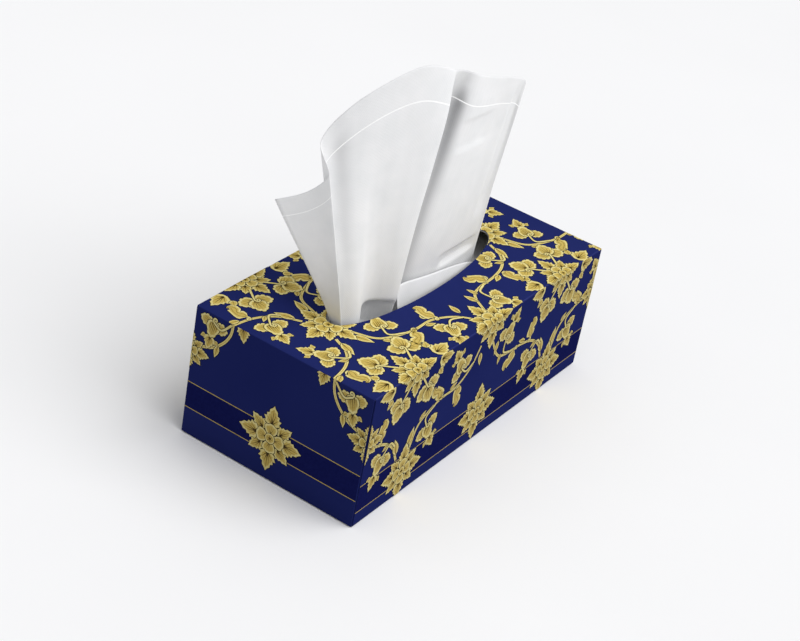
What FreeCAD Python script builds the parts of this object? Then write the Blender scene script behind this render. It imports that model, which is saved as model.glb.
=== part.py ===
import FreeCAD, Part
import math
import os

# A box of facial tissues: a printed folding carton with an oval opening in its top,
# a stack of interfolded sheets, one sheet pulled up through the opening and the next
# sheet drawn up after it. Millimetres. The origin is the centre of the base, X runs
# along the length, Y across the width and Z up. The front long panel faces -Y.

# Carton
LENGTH = 230.0
WIDTH = 115.0
HEIGHT = 80.0
BOARD = 0.5
FOLD_RADIUS = 0.9
OPENING_LENGTH = 150.0
OPENING_WIDTH = 35.0
GLUE_LAP = 14.0
DUST_FLAP = 42.0
INNER_FLAP = 45.0
FLAP_SET_IN = 0.6

# Folded sheets
SHEET = 0.4
LAYER_GAP = 0.3
STACK_HEIGHT = 60.0
STACK_EDGE_RADIUS = 3.0
STACK_END_GAP = 8.5
STACK_SIDE_GAP = 4.0
SHEET_SET_IN = 2.5
TAIL_LENGTH = 36.0
SHEET_DEGREES = (3, 2)

# Print: flat motifs of gold ink, standing proud of the board by the ink's thickness
INK = 0.05
INK_MARGIN = 1.0
OPENING_MARGIN = 0.6
LINE_WIDTH = 0.6
VINE_WIDTH = 1.1
VINE_STEPS = 10
FLOWER_LOBES = 8
FLOWER_NOTCH = 0.62
LEAF_WIDTH_SHARE = 0.34

# The stack fits between the dust flaps at its ends and beside the glue lap
STACK_LENGTH = LENGTH - 2 * (3 * BOARD + STACK_END_GAP)
STACK_WIDTH = WIDTH - 2 * (2 * BOARD + STACK_SIDE_GAP)
SHEET_WIDTH = STACK_LENGTH - 2 * SHEET_SET_IN

STACK_TOP = BOARD + STACK_HEIGHT
LAYER_STEP = SHEET + LAYER_GAP
LOWER_HALF_Z = STACK_TOP + LAYER_GAP + SHEET / 2
TAIL_Z = LOWER_HALF_Z + LAYER_STEP
UPPER_HALF_Z = TAIL_Z + LAYER_STEP

# The pulled sheet, station by station across its width from the free side edge of the
# flap: (rim x, rim y, crest x, crest y, crest height over the top panel, hem shift x,
# hem shift y). Two stations close together hold a folded edge.
PULLED_STATIONS = (
    (-70.2, 3.2, -94.0, 33.0, 66.0, 0.0, 0.0),
    (-70.7, 2.2, -91.0, 27.0, 69.0, 0.0, 0.0),
    (-71.0, 0.4, -87.8, 20.0, 73.0, 0.0, 0.0),
    (-70.9, -2.0, -88.0, 12.0, 81.0, 0.0, 0.0),
    (-70.6, -3.8, -91.2, 5.2, 90.0, 0.0, 0.0),
    (-70.4, -4.4, -90.6, 5.0, 91.6, 0.0, 0.0),
    (-70.0, -2.8, -89.0, 10.2, 96.4, 0.0, 0.0),
    (-70.4, -0.6, -88.2, 14.8, 101.0, 0.0, 0.0),
    (-69.2, -0.4, -87.0, 16.4, 103.0, 0.0, 0.0),
    (-67.4, -3.2, -84.0, 15.4, 110.0, 0.0, 0.0),
    (-64.0, -6.4, -79.5, 11.4, 118.0, 0.0, 0.0),
    (-58.5, -8.0, -73.0, 5.2, 128.0, 0.0, 0.0),
    (-53.5, -3.6, -65.0, -1.0, 135.0, 0.0, 0.0),
    (-47.0, -3.8, -55.5, -7.0, 141.0, 0.0, 0.0),
    (-42.0, -8.2, -44.5, -12.0, 145.0, 0.0, -1.0),
    (-38.5, -12.2, -34.0, -15.0, 142.0, 0.0, -2.0),
    (-35.8, -13.8, -26.5, -17.0, 138.5, 0.5, -2.9),
    (-35.0, -12.6, -24.0, -16.8, 137.6, -0.6, -1.5),
    (-36.4, -9.6, -21.5, -16.0, 136.6, -4.6, 3.0),
    (-36.8, -6.2, -18.5, -15.2, 135.6, -6.6, 8.8),
    (-34.0, -4.0, -15.0, -14.8, 134.4, 3.0, 11.6),
    (-29.5, -3.9, -11.0, -15.0, 133.0, 8.0, 9.4),
    (-22.0, -5.6, -5.5, -15.6, 130.6, 3.0, 1.0),
    (-8.0, -8.0, 5.0, -17.0, 126.4, -3.0, -1.2),
    (10.0, -8.8, 20.0, -18.2, 122.0, -2.0, 0.0),
    (29.0, -8.6, 31.5, -20.2, 119.6, 0.0, 1.0),
    (46.0, -7.8, 41.0, -22.2, 116.6, 0.0, 0.0),
    (56.0, -6.4, 47.0, -21.0, 111.4, 0.0, 0.0),
    (60.0, -4.0, 49.0, -17.0, 105.0, 0.0, 0.0),
    (59.0, -1.4, 48.5, -12.0, 100.5, 0.0, 0.0),
)
PULLED_ROWS = ((0.18, 0.0), (0.42, 0.25), (0.66, 0.7), (0.84, 1.0), (0.93, 0.35), (1.0, 0.0))

# The free edge of the next sheet as it stands in the opening: (x, y, z over the top panel).
NEXT_EDGE = (
    (-98.0, -8.0, -17.0), (-76.0, -9.0, -16.4), (-58.0, -13.0, -16.0), (-46.0, -15.8, -15.5),
    (-38.0, -17.6, -15.5), (-34.5, -17.6, -15.0), (-32.8, -16.4, -11.0), (-32.2, -14.2, -4.5),
    (-31.6, -12.2, 1.0), (-30.8, -10.6, 6.5), (-29.4, -9.7, 9.6), (-24.0, -9.6, 9.6),
    (-14.0, -10.8, 8.2), (0.0, -12.0, 6.4), (15.0, -12.2, 4.4), (28.0, -12.0, 1.8),
    (40.0, -11.4, -1.5), (50.0, -10.2, -6.0), (60.0, -8.6, -11.0), (78.0, -7.0, -15.6),
    (98.0, -8.0, -17.0),
)
NEXT_FOOT_Y = -OPENING_WIDTH / 2


# Motifs on each kind of panel, in millimetres from its middle line and from its top edge:
# flowers (across, down, radius), leaves (across, down, direction, length) and vines
# (points across and down). Each list is the right half and is mirrored to the left.
LONG_PANEL = {
    "flowers": (
        (0.0, 60.0, 19.0), (75.0, 64.0, 18.5), (0.0, 0.0, 18.5), (76.0, -1.0, 17.5),
        (98.0, 45.0, 7.0), (53.0, 47.0, 7.5), (28.0, 17.0, 7.0),
    ),
    "leaves": ((104.0, 22.0, 60.0, 13.0), (53.0, 26.0, 200.0, 13.0), (33.0, 40.0, 140.0, 13.0)),
    "vines": (
        ((114.0, 33.0), (100.0, 34.0), (90.0, 40.0), (82.0, 53.0)),
        ((68.0, 52.0), (63.0, 38.0), (48.0, 31.0), (32.0, 30.0), (19.0, 23.0), (11.0, 12.0)),
    ),
    "lines": (54.2, 71.2),
}
END_PANEL = {
    "flowers": ((0.0, 54.3, 19.5), (57.5, 28.0, 16.0)),
    "leaves": ((27.0, 6.0, 120.0, 10.0),),
    "vines": (((33.0, 1.0), (36.0, 11.0), (44.0, 18.0), (56.5, 21.0)),),
    "lines": (47.2, 63.2),
}
TOP_PANEL = {
    "flowers": (
        (77.5, 0.0, 16.0), (0.0, 57.5, 18.5), (76.0, 56.5, 17.5), (98.0, 20.0, 6.5), (25.0, 45.0, 6.5),
    ),
    "leaves": ((103.0, 41.0, 60.0, 13.0), (50.0, 47.0, 150.0, 13.0)),
    "vines": (
        ((114.0, 34.5), (98.0, 33.5), (87.0, 25.5), (82.0, 13.5)),
        ((71.0, 13.5), (67.0, 22.5), (58.0, 30.5), (45.0, 33.0), (28.0, 34.0), (17.0, 41.0), (9.0, 52.0)),
    ),
    "lines": (),
}


def block(x0, x1, y0, y1, z0, z1):
    return Part.makeBox(x1 - x0, y1 - y0, z1 - z0, FreeCAD.Vector(x0, y0, z0))


def fuse_all(shapes):
    return shapes[0].multiFuse(shapes[1:]).removeSplitter()


def rounded_bar(half_length, half_width, bottom, top, radius):
    """Bar along X whose four long edges are rounded."""
    bar = block(-half_length, half_length, -half_width, half_width, bottom, top)
    long_edges = [edge for edge in bar.Edges if abs(edge.tangentAt(edge.FirstParameter).x) > 0.9]
    return bar.makeFillet(radius, long_edges)


def opening_cutter(margin=0.0):
    centre = FreeCAD.Vector(0, 0, HEIGHT - 3 * BOARD)
    oval = Part.Ellipse(centre, OPENING_LENGTH / 2 + margin, OPENING_WIDTH / 2 + margin)
    return Part.Face(Part.Wire(oval.toShape())).extrude(FreeCAD.Vector(0, 0, 6 * BOARD))


def end_closure(side):
    """Two dust flaps, the inner flap and the outer flap at one end, glued on each other."""
    dust_x = LENGTH / 2 - 3 * BOARD
    inner_x = LENGTH / 2 - 2 * BOARD
    outer_x = LENGTH / 2 - BOARD
    half_width = WIDTH / 2
    wall = half_width - BOARD
    near = half_width - FLAP_SET_IN
    pieces = [
        block(dust_x, inner_x, -wall, -wall + DUST_FLAP, 2 * BOARD, HEIGHT - 2 * BOARD),
        block(dust_x, inner_x, wall - DUST_FLAP, wall, 2 * BOARD, HEIGHT - 2 * BOARD),
        block(inner_x - BOARD, outer_x, -near, near, 0, BOARD),
        block(inner_x, outer_x, -near, near, 0, INNER_FLAP),
        block(dust_x - BOARD, LENGTH / 2, -near, near, HEIGHT - BOARD, HEIGHT),
        block(outer_x, LENGTH / 2, -near, near, FLAP_SET_IN, HEIGHT),
    ]
    closure = round_outer_fold(fuse_all(pieces), near)
    if side < 0:
        closure = closure.mirror(FreeCAD.Vector(0, 0, 0), FreeCAD.Vector(1, 0, 0))
    return closure


def round_outer_fold(closure, near):
    """Round the outside of the fold between the top panel and the outer flap."""
    radius = FOLD_RADIUS
    corner = block(LENGTH / 2 - radius, LENGTH / 2, -near, near, HEIGHT - radius, HEIGHT)
    axis = FreeCAD.Vector(LENGTH / 2 - radius, -near, HEIGHT - radius)
    bend = Part.makeCylinder(radius, 2 * near, axis, FreeCAD.Vector(0, 1, 0))
    return closure.cut(corner).fuse(bend.common(corner)).removeSplitter()


def make_carton():
    body_half = LENGTH / 2 - 2 * BOARD
    outside = rounded_bar(body_half, WIDTH / 2, 0, HEIGHT, FOLD_RADIUS)
    inside = rounded_bar(body_half + 1, WIDTH / 2 - BOARD, BOARD, HEIGHT - BOARD, FOLD_RADIUS - BOARD)
    lap_end = body_half - 4.0
    lap = block(-lap_end, lap_end, WIDTH / 2 - 2 * BOARD, WIDTH / 2 - BOARD, 2 * BOARD, 2 * BOARD + GLUE_LAP)
    tube = outside.cut(inside)
    carton = fuse_all([tube, lap, end_closure(1), end_closure(-1)])
    return carton.cut(opening_cutter())


def make_stack():
    stack = block(
        -STACK_LENGTH / 2, STACK_LENGTH / 2, -STACK_WIDTH / 2, STACK_WIDTH / 2, BOARD, STACK_TOP
    )
    folds = [edge for edge in stack.Edges if abs(edge.tangentAt(edge.FirstParameter).x) > 0.9]
    return stack.makeFillet(STACK_EDGE_RADIUS, folds)


def clamped_knots(count, degree):
    """Knots and multiplicities of a clamped even spline with so many poles."""
    spans = count - degree
    knots = [float(k) for k in range(spans + 1)]
    mults = [degree + 1] + [1] * (spans - 1) + [degree + 1]
    return knots, mults


def spline_surface(net, degrees=SHEET_DEGREES):
    degree_u, degree_v = degrees
    knots_u, mults_u = clamped_knots(len(net), degree_u)
    knots_v, mults_v = clamped_knots(len(net[0]), degree_v)
    surface = Part.BSplineSurface()
    surface.buildFromPolesMultsKnots(
        net, mults_u, mults_v, knots_u, knots_v, False, False, degree_u, degree_v
    )
    return surface.toShape()


def net_normal(net, i, j):
    last_i = len(net) - 1
    last_j = len(net[0]) - 1
    along = net[min(i + 1, last_i)][j] - net[max(i - 1, 0)][j]
    across = net[i][min(j + 1, last_j)] - net[i][max(j - 1, 0)]
    normal = along.cross(across)
    return normal.normalize() if normal.Length > 1e-9 else FreeCAD.Vector(0, 0, 1)


def offset_net(net, distance):
    return [
        [net[i][j] + net_normal(net, i, j) * distance for j in range(len(net[0]))]
        for i in range(len(net))
    ]


def sheet_solid(net):
    """Sheet of the named thickness about a net of poles, closed along its four edges."""
    degree_across, degree_up = SHEET_DEGREES
    front = offset_net(net, SHEET / 2)
    back = offset_net(net, -SHEET / 2)
    faces = [spline_surface(front), spline_surface(back)]
    for end in (0, -1):
        faces.append(spline_surface([front[end], back[end]], (1, degree_up)))
        rows = [[column[end] for column in layer] for layer in (front, back)]
        faces.append(spline_surface(rows, (1, degree_across)))
    shell = Part.makeShell(faces)
    shell.sewShape()
    solid = Part.makeSolid(shell)
    if solid.Volume < 0:
        solid.reverse()
    return solid


def pulled_net():
    """Poles of the pulled sheet, from the end of its tail up to its top edge."""
    net = []
    count = len(PULLED_STATIONS)
    for number, station in enumerate(PULLED_STATIONS):
        rim_x, rim_y, crest_x, crest_y, crest_z, hem_x, hem_y = station
        tail_x = SHEET_WIDTH * (number / (count - 1) - 0.5)
        rim = FreeCAD.Vector(rim_x, rim_y, HEIGHT)
        crest = FreeCAD.Vector(crest_x, crest_y, HEIGHT + crest_z)
        tail_end_y = -OPENING_WIDTH / 4 - TAIL_LENGTH
        column = [
            FreeCAD.Vector(tail_x, tail_end_y, TAIL_Z),
            FreeCAD.Vector(0.85 * tail_x + 0.15 * rim_x, tail_end_y + 0.5 * TAIL_LENGTH, TAIL_Z),
            FreeCAD.Vector(0.2 * tail_x + 0.8 * rim_x, rim_y - 3.0, TAIL_Z),
            FreeCAD.Vector(rim_x, rim_y, TAIL_Z + 7.0),
            rim - FreeCAD.Vector(0, 0, 2.0),
        ]
        for share, shift in PULLED_ROWS:
            point = rim + (crest - rim) * share
            column.append(point + FreeCAD.Vector(hem_x * shift, hem_y * shift, 0))
        net.append(column)
    return net


def next_net():
    """Poles of the next sheet: lower half, folded edge, upper half and raised free edge."""
    net = []
    half = STACK_WIDTH / 2
    middle = (LOWER_HALF_Z + UPPER_HALF_Z) / 2
    for x, y, rise in NEXT_EDGE:
        flat_x = x / 98.0 * SHEET_WIDTH / 2
        lift = max(0.0, rise + HEIGHT - UPPER_HALF_Z)
        foot_x = 0.5 * flat_x + 0.5 * x
        net.append([
            FreeCAD.Vector(flat_x, half - 4.0, LOWER_HALF_Z),
            FreeCAD.Vector(flat_x, 0.0, LOWER_HALF_Z),
            FreeCAD.Vector(flat_x, -half + 4.0, LOWER_HALF_Z),
            FreeCAD.Vector(flat_x, -half, LOWER_HALF_Z - 0.1),
            FreeCAD.Vector(flat_x, -half - 1.0, middle),
            FreeCAD.Vector(flat_x, -half, UPPER_HALF_Z + 0.1),
            FreeCAD.Vector(flat_x, -half + 4.0, UPPER_HALF_Z),
            FreeCAD.Vector(foot_x, y - 16.0, UPPER_HALF_Z),
            FreeCAD.Vector(x, min(y - 5.0, NEXT_FOOT_Y), UPPER_HALF_Z + 0.1 * lift),
            FreeCAD.Vector(x, y - 2.4, UPPER_HALF_Z + 0.45 * lift),
            FreeCAD.Vector(x, y - 1.6, UPPER_HALF_Z + 0.75 * lift),
            FreeCAD.Vector(x, y, HEIGHT + rise),
        ])
    return net


class PanelFrame:
    """Places flat shapes on one outer face of the carton."""

    def __init__(self, middle, across, down, height, half_width):
        self.middle = middle
        self.across = across
        self.down = down
        self.outward = across.cross(down) * -1.0
        self.height = height
        self.half_width = half_width

    def point(self, across, down):
        return self.middle + self.across * across + self.down * down

    def prism(self, outline):
        corners = [self.point(across, down) for across, down in outline]
        wire = Part.makePolygon(corners + corners[:1])
        return Part.Face(wire).extrude(self.outward * INK)

    def window(self):
        """The flat part of the face, clear of its folds."""
        left = -self.half_width + INK_MARGIN
        right = self.half_width - INK_MARGIN
        top = INK_MARGIN
        bottom = self.height - INK_MARGIN
        return self.prism(((left, top), (right, top), (right, bottom), (left, bottom)))


def flower_outline(across, down, radius):
    count = 4 * FLOWER_LOBES
    outline = []
    for k in range(count):
        lobe = 0.5 + 0.5 * math.cos(FLOWER_LOBES * 2 * math.pi * k / count)
        long_lobe = 1.0 if (k // 4 + (k % 4 > 1)) % 2 == 0 else 0.84
        reach = radius * long_lobe * (FLOWER_NOTCH + (1 - FLOWER_NOTCH) * lobe)
        turn = 2 * math.pi * k / count
        outline.append((across + reach * math.cos(turn), down + reach * math.sin(turn)))
    return outline


def leaf_outline(across, down, direction, length):
    ahead = (math.cos(math.radians(direction)), math.sin(math.radians(direction)))
    side = (-ahead[1], ahead[0])
    half_width = length * LEAF_WIDTH_SHARE / 2
    stations = ((-0.5, 0.0), (-0.2, 0.9), (0.1, 1.0), (0.5, 0.0), (0.1, -1.0), (-0.2, -0.9))
    outline = []
    for along, out in stations:
        outline.append((
            across + ahead[0] * along * length + side[0] * out * half_width,
            down + ahead[1] * along * length + side[1] * out * half_width,
        ))
    return outline


def vine_outline(points):
    """Ribbon of the vine's width along a smooth curve through the points."""
    curve = Part.BSplineCurve()
    curve.interpolate([FreeCAD.Vector(across, down, 0) for across, down in points])
    first = curve.FirstParameter
    last = curve.LastParameter
    left = []
    right = []
    for k in range(VINE_STEPS + 1):
        parameter = first + (last - first) * k / VINE_STEPS
        place = curve.value(parameter)
        ahead = curve.tangent(parameter)[0]
        side = FreeCAD.Vector(-ahead.y, ahead.x, 0) * (VINE_WIDTH / 2)
        left.append((place.x + side.x, place.y + side.y))
        right.append((place.x - side.x, place.y - side.y))
    return left + right[::-1]


def line_outline(half_width, down):
    half = LINE_WIDTH / 2
    return (
        (-half_width, down - half), (half_width, down - half),
        (half_width, down + half), (-half_width, down + half),
    )


def mirrored(outline):
    return [(-across, down) for across, down in outline]


def flipped(outline):
    return [(across, -down) for across, down in outline]


def panel_outlines(motifs, half_width):
    outlines = []
    outlines.extend(flower_outline(*flower) for flower in motifs["flowers"])
    outlines.extend(leaf_outline(*leaf) for leaf in motifs["leaves"])
    outlines.extend(vine_outline(vine) for vine in motifs["vines"])
    outlines.extend([mirrored(outline) for outline in outlines])
    outlines.extend(line_outline(half_width, down) for down in motifs["lines"])
    return outlines


def print_panel(frame, outlines):
    ink = fuse_all([frame.prism(outline) for outline in outlines])
    return ink.common(frame.window())


def make_print():
    """Gold print on the four side panels and the top panel."""
    x_axis = FreeCAD.Vector(1, 0, 0)
    y_axis = FreeCAD.Vector(0, 1, 0)
    z_down = FreeCAD.Vector(0, 0, -1)
    half_length = LENGTH / 2
    half_width = WIDTH / 2
    long_outlines = panel_outlines(LONG_PANEL, half_length)
    end_outlines = panel_outlines(END_PANEL, half_width)
    top_half = panel_outlines(TOP_PANEL, half_length)
    top_outlines = top_half + [flipped(outline) for outline in top_half]
    top_outlines = [[(across, down + half_width) for across, down in outline] for outline in top_outlines]
    panels = (
        (FreeCAD.Vector(0, -half_width, HEIGHT), x_axis, z_down, HEIGHT, half_length, long_outlines),
        (FreeCAD.Vector(0, half_width, HEIGHT), -x_axis, z_down, HEIGHT, half_length, long_outlines),
        (FreeCAD.Vector(-half_length, 0, HEIGHT), -y_axis, z_down, HEIGHT, half_width, end_outlines),
        (FreeCAD.Vector(half_length, 0, HEIGHT), y_axis, z_down, HEIGHT, half_width, end_outlines),
        (FreeCAD.Vector(0, half_width, HEIGHT), x_axis, -y_axis, WIDTH, half_length, top_outlines),
    )
    opening = opening_cutter(OPENING_MARGIN)
    solids = []
    for middle, across, down, height, half, outlines in panels:
        printed = print_panel(PanelFrame(middle, across, down, height, half), outlines)
        solids.extend(printed.cut(opening).Solids)
    return Part.makeCompound(solids)


def export(shape, name):
    shape.exportStep("parts/%s.step" % name)
    print(name, shape.isValid(), round(shape.Volume, 1), shape.BoundBox)


def main():
    os.makedirs("parts", exist_ok=True)
    export(make_carton(), "carton")
    export(make_print(), "gold_print")
    export(make_stack(), "tissue_stack")
    export(sheet_solid(pulled_net()), "pulled_tissue")
    export(sheet_solid(next_net()), "next_tissue")


main()
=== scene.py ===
import cmath
import math

import bmesh
import bpy
import numpy as np
from mathutils import Matrix, Vector, geometry, noise


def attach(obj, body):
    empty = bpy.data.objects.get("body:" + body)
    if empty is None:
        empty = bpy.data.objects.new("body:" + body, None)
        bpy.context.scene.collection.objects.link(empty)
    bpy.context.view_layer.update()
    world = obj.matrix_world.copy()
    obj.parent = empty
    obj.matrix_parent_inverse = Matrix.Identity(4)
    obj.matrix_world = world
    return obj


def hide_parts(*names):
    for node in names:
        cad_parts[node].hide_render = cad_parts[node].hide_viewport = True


# The looks of a box of facial tissues: the printed carton, the gold floral scroll on it,
# the stack of interfolded sheets, the pulled sheet and the next sheet after it. Sizes are
# in millimetres until a mesh is made, and meshes are in metres.

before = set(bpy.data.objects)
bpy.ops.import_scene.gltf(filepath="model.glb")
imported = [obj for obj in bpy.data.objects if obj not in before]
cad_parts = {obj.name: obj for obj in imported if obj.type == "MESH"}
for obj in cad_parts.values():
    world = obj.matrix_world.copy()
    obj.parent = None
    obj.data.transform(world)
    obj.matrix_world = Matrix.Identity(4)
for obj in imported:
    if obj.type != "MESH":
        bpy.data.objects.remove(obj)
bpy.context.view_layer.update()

MM = 0.001

# Carton
LENGTH = 230.0
WIDTH = 115.0
HEIGHT = 80.0
BOARD = 0.5
FOLD_RADIUS = 0.9
FLAP_SET_IN = 0.6
OPENING_LENGTH = 150.0
OPENING_WIDTH = 35.0
WORN_EDGE = 0.75
WORN_SHARE = 0.35

# Sheets
SHEET = 0.4
SHEET_DRAWN = 0.22
LAYER_GAP = 0.3
SHEET_WIDTH = 205.0
TAIL_LENGTH = 36.0
STACK_TOP = 60.5
LOWER_HALF_Z = STACK_TOP + LAYER_GAP + SHEET / 2
TAIL_Z = LOWER_HALF_Z + SHEET + LAYER_GAP
UPPER_HALF_Z = TAIL_Z + SHEET + LAYER_GAP
STACK_LENGTH = 210.0
STACK_WIDTH = 105.0
SHEET_LAYERS = 60
STACK_COLUMNS = 36
PRESSED_LINE = 16.5
PRESSED_LINE_HALF = 0.35
EMBOSS_PITCH = 1.6
PULLED_GRID = (240, 140)
NEXT_GRID = (120, 96)

# Camera: place in metres, direction of view and roll in degrees, focal length in millimetres
CAMERA_PLACE = (-0.80066, -0.44479, 0.60701)
CAMERA_AZIMUTH = 60.86
CAMERA_DIP = 31.31
CAMERA_ROLL = 10.93
CAMERA_LENS = 86.62

# Light, and the floor in metres
SUN_STRENGTH = 2.15
SUN_DEGREES = 60
TOWARDS_SUN = (0.15, -0.7, 1.0)
WORLD_COLOUR = (0.985, 0.99, 1.0, 1.0)
WORLD_STRENGTH = 0.47
FLOOR_SIZE = 12.0
FLOOR_Z = -0.0004

# Print, and the layer of ink on which each kind of shape begins
INK_BASE = 0.02
INK_STEP = 0.012
OUTLINE = 0.35
LINE_HALF_WIDTH = 0.22
FOLD_CUTS = 3
CUT_TOLERANCE = 1e-5
OPENING_RIM = 0.35
RIM_SIDES = 96
TONES = ("band", "outline", "rim", "face", "vein")
VINE_LAYER = 1
CURL_LAYER = 2
SIDE_LEAF_LAYER = 3
LEAF_LAYER = 4
FLOWER_LAYER = 8
HOOK_LAYER = 12

# Colours on screen; a pair is the two ends of a mottle
NAVY = ("#1f275d", "#252d65")
NAVY_WORN = "#4a5190"
BARE_BOARD = ("#b9b6ae", "#d8d6cf")
PAPER = ("#e6e7e8", "#eeeeef")
STACK_PAPER = ("#dededf", "#efefef")
# Painted shade in the deep folds of the pulled sheet
PAINTED_FOLD_GREY = "#98989a"
# Painted highlight: the pressed line is drawn white, lighter than the paper
PAINTED_LINE_HIGHLIGHT = "#ffffff"
FLOOR = ("#f5f5f6", "#f8f8f9")
# Ink of each tone: name, two ends of its mottle, gloss
INKS = (
    ("ink_band", "#161a4c", "#191e52", 0.0),
    ("ink_outline", "#171410", "#241e14", 0.0),
    ("ink_gold_light", "#dccb7e", "#e8db98", 0.08),
    ("ink_gold", "#c3a851", "#d1b962", 0.08),
    ("ink_gold_dark", "#574520", "#655229", 0.0),
)
# Painted shade: how far the ink of the upright panels goes towards a colour near black. A face is
# upright where the upward part of its normal is under TOP_NORMAL
PAINTED_SIDE_SHADE = 0.3
NEAR_BLACK = (0.0, 0.0, 0.02, 1.0)
TOP_NORMAL = 0.7

# Grain of the board: scale of its noise, strength and depth in metres of its bump
GRAIN_SCALE = 2600.0
GRAIN_BUMP = (0.12, 0.00004)


# Materials

def linear(code):
    """Linear colour of a hexadecimal screen colour."""
    channels = [int(code[i:i + 2], 16) / 255 for i in (1, 3, 5)]
    return [c / 12.92 if c < 0.04045 else ((c + 0.055) / 1.055) ** 2.4 for c in channels] + [1.0]


def grey(level):
    return (level, level, level, 1.0)


class Finish:
    """A material whose colour, roughness and bump come from nodes."""

    def __init__(self, name):
        self.material = bpy.data.materials.new(name)
        self.material.use_nodes = True
        self.nodes = self.material.node_tree.nodes
        self.links = self.material.node_tree.links
        self.surface = self.nodes["Principled BSDF"]
        self.place = self.nodes.new("ShaderNodeTexCoord").outputs["Object"]

    def put(self, value, socket):
        if isinstance(value, bpy.types.NodeSocket):
            self.links.new(value, socket)
        else:
            socket.default_value = value

    def noise(self, scale, detail=3.0, where=None):
        node = self.nodes.new("ShaderNodeTexNoise")
        node.inputs["Scale"].default_value = scale
        node.inputs["Detail"].default_value = detail
        self.links.new(where or self.place, node.inputs["Vector"])
        return node.outputs["Fac"]

    def ramp(self, factor, *stops):
        node = self.nodes.new("ShaderNodeValToRGB")
        elements = node.color_ramp.elements
        while len(elements) < len(stops):
            elements.new(0.5)
        for element, (position, colour) in zip(elements, stops):
            element.position = position
            element.color = colour
        self.links.new(factor, node.inputs["Fac"])
        return node.outputs["Color"]

    def between(self, factor, low, high, start=0.3, end=0.7):
        """Colour that goes from one screen colour to another as the factor rises."""
        return self.ramp(factor, (start, linear(low)), (end, linear(high)))

    def mix(self, factor, first, second):
        node = self.nodes.new("ShaderNodeMix")
        node.data_type = "RGBA"
        self.put(factor, node.inputs[0])
        self.put(first, node.inputs[6])
        self.put(second, node.inputs[7])
        return node.outputs[2]

    def maths(self, operation, first, second=0.0):
        node = self.nodes.new("ShaderNodeMath")
        node.operation = operation
        self.put(first, node.inputs[0])
        self.put(second, node.inputs[1])
        return node.outputs[0]

    def parts(self, vector):
        node = self.nodes.new("ShaderNodeSeparateXYZ")
        self.links.new(vector, node.inputs[0])
        return node.outputs

    def normal(self):
        """The three parts of the surface's own normal."""
        node = self.nodes.new("ShaderNodeNewGeometry")
        return self.parts(node.outputs["True Normal"])

    def stretched(self, factors, where=None):
        node = self.nodes.new("ShaderNodeMapping")
        node.inputs["Scale"].default_value = factors
        self.links.new(where or self.place, node.inputs["Vector"])
        return node.outputs[0]

    def bump(self, height, strength, distance):
        node = self.nodes.new("ShaderNodeBump")
        node.inputs["Strength"].default_value = strength
        node.inputs["Distance"].default_value = distance
        self.links.new(height, node.inputs["Height"])
        previous = self.surface.inputs["Normal"]
        if previous.links:
            self.links.new(previous.links[0].from_socket, node.inputs["Normal"])
        self.links.new(node.outputs[0], previous)

    def colour(self, value):
        self.put(value, self.surface.inputs["Base Color"])

    def roughness(self, value):
        self.put(value, self.surface.inputs["Roughness"])

    def gloss(self, value):
        self.surface.inputs["Specular IOR Level"].default_value = value


def ink_with_painted_side_shade(finish, colour):
    """The ink as it is on the top panel, and darker on the four upright panels as painted shade."""
    upright = finish.maths("LESS_THAN", finish.normal()[2], TOP_NORMAL)
    darker = finish.mix(PAINTED_SIDE_SHADE, colour, NEAR_BLACK)
    return finish.mix(upright, colour, darker)


def printed_side(finish):
    """1 on the carton's printed outside and 0 on the bare board inside and at cut edges."""
    place = finish.parts(finish.place)
    normal = finish.normal()
    middle_z = finish.maths("SUBTRACT", place[2], HEIGHT / 2 * MM)
    # The printed faces lie farther than these from the middle of the box
    sides = (
        (place[0], normal[0], (LENGTH / 2 - 3 * BOARD + 0.2) * MM),
        (place[1], normal[1], (WIDTH / 2 - FLAP_SET_IN - 0.1) * MM),
        (middle_z, normal[2], (HEIGHT / 2 - 0.5 * FOLD_RADIUS) * MM),
    )
    printed = None
    for along, outward, limit in sides:
        far = finish.maths("GREATER_THAN", finish.maths("ABSOLUTE", along), limit)
        facing = finish.maths("MULTIPLY", finish.maths("SIGN", along), outward)
        side = finish.maths("MULTIPLY", far, finish.maths("GREATER_THAN", facing, 0.3))
        printed = side if printed is None else finish.maths("MAXIMUM", printed, side)
    return printed


def worn_folds(finish):
    """How much of the ink is rubbed off, along the two long folds of the top panel."""
    place = finish.parts(finish.place)
    near_top = finish.maths("GREATER_THAN", place[2], (HEIGHT - WORN_EDGE) * MM)
    from_middle = finish.maths("ABSOLUTE", place[1])
    near_long = finish.maths("GREATER_THAN", from_middle, (WIDTH / 2 - WORN_EDGE) * MM)
    near_fold = finish.maths("MULTIPLY", near_top, near_long)
    worn = finish.maths("MULTIPLY", near_fold, finish.noise(160.0, 4.0))
    return finish.maths("MULTIPLY", worn, WORN_SHARE)


def carton_finish():
    """Navy ink on the outside of the board, fibres of grey board inside and at cut edges."""
    finish = Finish("printed_board")
    cloud = finish.noise(9.0)
    navy = finish.between(cloud, *NAVY)
    ink = finish.mix(worn_folds(finish), navy, linear(NAVY_WORN))
    fibres = finish.noise(420.0, 4.0, finish.stretched((1.0, 4.0, 4.0)))
    bare = finish.between(fibres, *BARE_BOARD)
    printed = printed_side(finish)
    # Painted shade darkens the navy on the upright panels
    finish.colour(finish.mix(printed, bare, ink_with_painted_side_shade(finish, ink)))
    ink_roughness = finish.ramp(cloud, (0.0, grey(0.36)), (1.0, grey(0.46)))
    finish.roughness(finish.mix(printed, grey(0.85), ink_roughness))
    finish.bump(finish.noise(GRAIN_SCALE, 2.0), *GRAIN_BUMP)
    finish.bump(cloud, 0.08, 0.001)
    finish.gloss(0.0)
    return finish.material


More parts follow.
